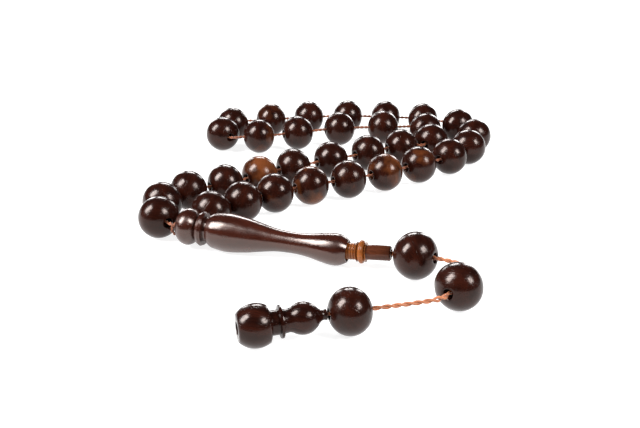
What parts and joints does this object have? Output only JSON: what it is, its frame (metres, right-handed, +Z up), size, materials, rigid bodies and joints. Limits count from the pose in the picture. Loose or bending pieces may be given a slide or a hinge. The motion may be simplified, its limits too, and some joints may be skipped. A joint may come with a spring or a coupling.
{
  "type": "misbaha prayer beads",
  "caption": "String of turned wooden prayer beads on one cord, with a long imame bead, a short tassel of loose beads and a turned finial.",
  "frame": {"origin": "on the table under the middle of the bead string's box, cords left out", "axes": "+Z up from the table, +Y along the folded loop away from the tassel, +X to the right, the way the imame's stem points"},
  "size_m": [0.094, 0.1442, 0.0105],
  "materials": {
    "dark_wood": "polished dark red-brown wood",
    "light_wood": "polished lighter orange-brown wood",
    "cord": "copper-orange braided cord"
  },
  "bodies": {
    "strand": {"imame_body": "dark_wood", "imame_stem": "light_wood", "loop_cord": "cord", "imame_cord": "cord"},
    "tassel_upper": {"tassel_cord_upper": "cord"},
    "tassel_lower": {"tassel_cord_lower": "cord", "finial": "dark_wood", "end_knot": "cord"},
    "tassel_bead_3": {"tassel_bead_3": "dark_wood"},
    "tassel_bead_1": {"tassel_bead_1": "dark_wood"},
    "tassel_bead_2": {"tassel_bead_2": "dark_wood"},
    "bead_01": {"bead_01": "dark_wood"},
    "bead_02": {"bead_02": "dark_wood"},
    "bead_03": {"bead_03": "dark_wood"},
    "bead_04": {"bead_04": "dark_wood"},
    "bead_05": {"bead_05": "dark_wood"},
    "bead_06": {"bead_06": "dark_wood"},
    "bead_07": {"bead_07": "dark_wood"},
    "bead_08": {"bead_08": "dark_wood"},
    "bead_09": {"bead_09": "dark_wood"},
    "bead_10": {"bead_10": "dark_wood"},
    "bead_11": {"bead_11": "dark_wood"},
    "bead_12": {"bead_12": "dark_wood"},
    "bead_13": {"bead_13": "dark_wood"},
    "bead_14": {"bead_14": "dark_wood"},
    "bead_15": {"bead_15": "dark_wood"},
    "bead_16": {"bead_16": "dark_wood"},
    "bead_17": {"bead_17": "dark_wood"},
    "bead_18": {"bead_18": "dark_wood"},
    "bead_19": {"bead_19": "dark_wood"},
    "bead_20": {"bead_20": "dark_wood"},
    "bead_21": {"bead_21": "dark_wood"},
    "bead_22": {"bead_22": "dark_wood"},
    "bead_23": {"bead_23": "dark_wood"},
    "bead_24": {"bead_24": "dark_wood"},
    "bead_25": {"bead_25": "dark_wood"},
    "bead_26": {"bead_26": "dark_wood"},
    "bead_27": {"bead_27": "dark_wood"},
    "bead_28": {"bead_28": "dark_wood"},
    "bead_29": {"bead_29": "dark_wood"},
    "bead_30": {"bead_30": "dark_wood"},
    "bead_31": {"bead_31": "dark_wood"},
    "bead_32": {"bead_32": "dark_wood"},
    "bead_33": {"bead_33": "dark_wood"}
  },
  "joints": [
    {"name": "tassel_swing", "type": "hinge", "parent": "strand", "child": "tassel_upper", "pos_m": [0.01149, -0.03611, 0.00425], "axis": [0, 0, 1], "range_deg": [-6, 40]},
    {"name": "tassel_fold", "type": "hinge", "parent": "tassel_upper", "child": "tassel_lower", "pos_m": [0.0264, -0.05002, 0.005], "axis": [0, 0, 1], "range_deg": [-20, 25]},
    {"name": "tassel_bead_3_slide", "type": "slide", "parent": "tassel_lower", "child": "tassel_bead_3", "axis": [0.9668, 0.2554, 0], "range_m": [0, 0.01395]},
    {"name": "tassel_bead_1_spin", "type": "hinge", "parent": "tassel_upper", "child": "tassel_bead_1", "pos_m": [0.01639, -0.03941, 0.00525], "axis": [0.8417, -0.526, 0.1219], "continuous": true},
    {"name": "tassel_bead_2_spin", "type": "hinge", "parent": "tassel_lower", "child": "tassel_bead_2", "pos_m": [0.02369, -0.05361, 0.005], "axis": [-0.6018, -0.7986, 0], "continuous": true},
    {"name": "bead_01_spin", "type": "hinge", "parent": "strand", "child": "bead_01", "pos_m": [-0.0418, -0.0172, 0.005], "axis": [-0.6121, 0.7907, 0], "continuous": true},
    {"name": "bead_02_spin", "type": "hinge", "parent": "strand", "child": "bead_02", "pos_m": [-0.0425, -0.0075, 0.005], "axis": [0.3096, 0.9509, 0], "continuous": true},
    {"name": "bead_03_spin", "type": "hinge", "parent": "strand", "child": "bead_03", "pos_m": [-0.0371, 0.0006, 0.005], "axis": [0.8149, 0.5796, 0], "continuous": true},
    {"name": "bead_04_slide", "type": "slide", "parent": "strand", "child": "bead_04", "axis": [0.8629, 0.5053, 0], "range_m": [-0.0007, 0.00145]},
    {"name": "bead_05_slide", "type": "slide", "parent": "strand", "child": "bead_05", "axis": [0.7542, 0.6566, 0], "range_m": [-0.0014, 0.00125]},
    {"name": "bead_06_slide", "type": "slide", "parent": "strand", "child": "bead_06", "axis": [0.8519, 0.5237, 0], "range_m": [-0.0012, 0.0026]},
    {"name": "bead_07_slide", "type": "slide", "parent": "strand", "child": "bead_07", "axis": [0.87, 0.4931, 0], "range_m": [-0.0026, 0.00275]},
    {"name": "bead_08_slide", "type": "slide", "parent": "strand", "child": "bead_08", "axis": [0.8416, 0.5401, 0], "range_m": [-0.0028, 0.00175]},
    {"name": "bead_09_slide", "type": "slide", "parent": "strand", "child": "bead_09", "axis": [0.9394, 0.3429, 0], "range_m": [-0.00155, 0.00115]},
    {"name": "bead_10_spin", "type": "hinge", "parent": "strand", "child": "bead_10", "pos_m": [0.0284, 0.0412, 0.005], "axis": [0.5503, 0.8349, 0], "continuous": true},
    {"name": "bead_11_spin", "type": "hinge", "parent": "strand", "child": "bead_11", "pos_m": [0.0279, 0.0523, 0.005], "axis": [-0.7362, 0.6768, 0], "continuous": true},
    {"name": "bead_12_slide", "type": "slide", "parent": "strand", "child": "bead_12", "axis": [-0.9986, -0.0531, 0], "range_m": [-0.0037, 0.004]},
    {"name": "bead_13_slide", "type": "slide", "parent": "strand", "child": "bead_13", "axis": [-0.9763, -0.2164, 0], "range_m": [-0.0041, 0.00395]},
    {"name": "bead_14_slide", "type": "slide", "parent": "strand", "child": "bead_14", "axis": [-0.9386, -0.3451, 0], "range_m": [-0.0038, 0.0025]},
    {"name": "bead_15_slide", "type": "slide", "parent": "strand", "child": "bead_15", "axis": [-0.9782, -0.2078, 0], "range_m": [-0.0026, 0.00165]},
    {"name": "bead_16_spin", "type": "hinge", "parent": "strand", "child": "bead_16", "pos_m": [-0.033, 0.0482, 0.005], "axis": [-0.592, 0.806, 0], "continuous": true},
    {"name": "bead_17_slide", "type": "slide", "parent": "strand", "child": "bead_17", "axis": [0.762, 0.6475, 0], "range_m": [-0.00085, 0.00105]},
    {"name": "bead_18_slide", "type": "slide", "parent": "strand", "child": "bead_18", "axis": [0.9752, 0.2215, 0], "range_m": [-0.0029, 0.00275]},
    {"name": "bead_19_slide", "type": "slide", "parent": "strand", "child": "bead_19", "axis": [0.9849, 0.1732, 0], "range_m": [-0.00275, 0.003]},
    {"name": "bead_20_slide", "type": "slide", "parent": "strand", "child": "bead_20", "axis": [1, 0.0062, 0], "range_m": [-0.00295, 0.00255]},
    {"name": "bead_21_slide", "type": "slide", "parent": "strand", "child": "bead_21", "axis": [0.9918, -0.1277, 0], "range_m": [-0.0025, 0.0023]},
    {"name": "bead_22_slide", "type": "slide", "parent": "strand", "child": "bead_22", "axis": [0.9397, -0.342, 0], "range_m": [-0.00245, 0.00265]},
    {"name": "bead_23_slide", "type": "slide", "parent": "strand", "child": "bead_23", "axis": [0.6439, -0.7651, 0], "range_m": [-0.0016, 0.0012]},
    {"name": "bead_24_slide", "type": "slide", "parent": "strand", "child": "bead_24", "axis": [-0.0503, -0.9987, 0], "range_m": [-0.00175, 0.00155]},
    {"name": "bead_25_slide", "type": "slide", "parent": "strand", "child": "bead_25", "axis": [-0.4687, -0.8834, 0], "range_m": [-0.00145, 0.00105]},
    {"name": "bead_26_slide", "type": "slide", "parent": "strand", "child": "bead_26", "axis": [-0.741, -0.6715, 0], "range_m": [-0.0011, 0.0022]},
    {"name": "bead_27_slide", "type": "slide", "parent": "strand", "child": "bead_27", "axis": [-0.8325, -0.5541, 0], "range_m": [-0.00205, 0.0021]},
    {"name": "bead_28_slide", "type": "slide", "parent": "strand", "child": "bead_28", "axis": [-0.8539, -0.5205, 0], "range_m": [-0.0021, 0.00175]},
    {"name": "bead_29_slide", "type": "slide", "parent": "strand", "child": "bead_29", "axis": [-0.9023, -0.4311, 0], "range_m": [-0.00175, 0.00155]},
    {"name": "bead_30_slide", "type": "slide", "parent": "strand", "child": "bead_30", "axis": [-0.8908, -0.4544, 0], "range_m": [-0.00155, 0.001]},
    {"name": "bead_31_spin", "type": "hinge", "parent": "strand", "child": "bead_31", "pos_m": [-0.0153, -0.0013, 0.005], "axis": [-0.8201, -0.5723, 0], "continuous": true},
    {"name": "bead_32_spin", "type": "hinge", "parent": "strand", "child": "bead_32", "pos_m": [-0.0229, -0.0071, 0.005], "axis": [-0.7717, -0.636, 0], "continuous": true},
    {"name": "bead_33_spin", "type": "hinge", "parent": "strand", "child": "bead_33", "pos_m": [-0.0299, -0.0136, 0.005], "axis": [-0.6855, -0.728, 0], "continuous": true}
  ]
}
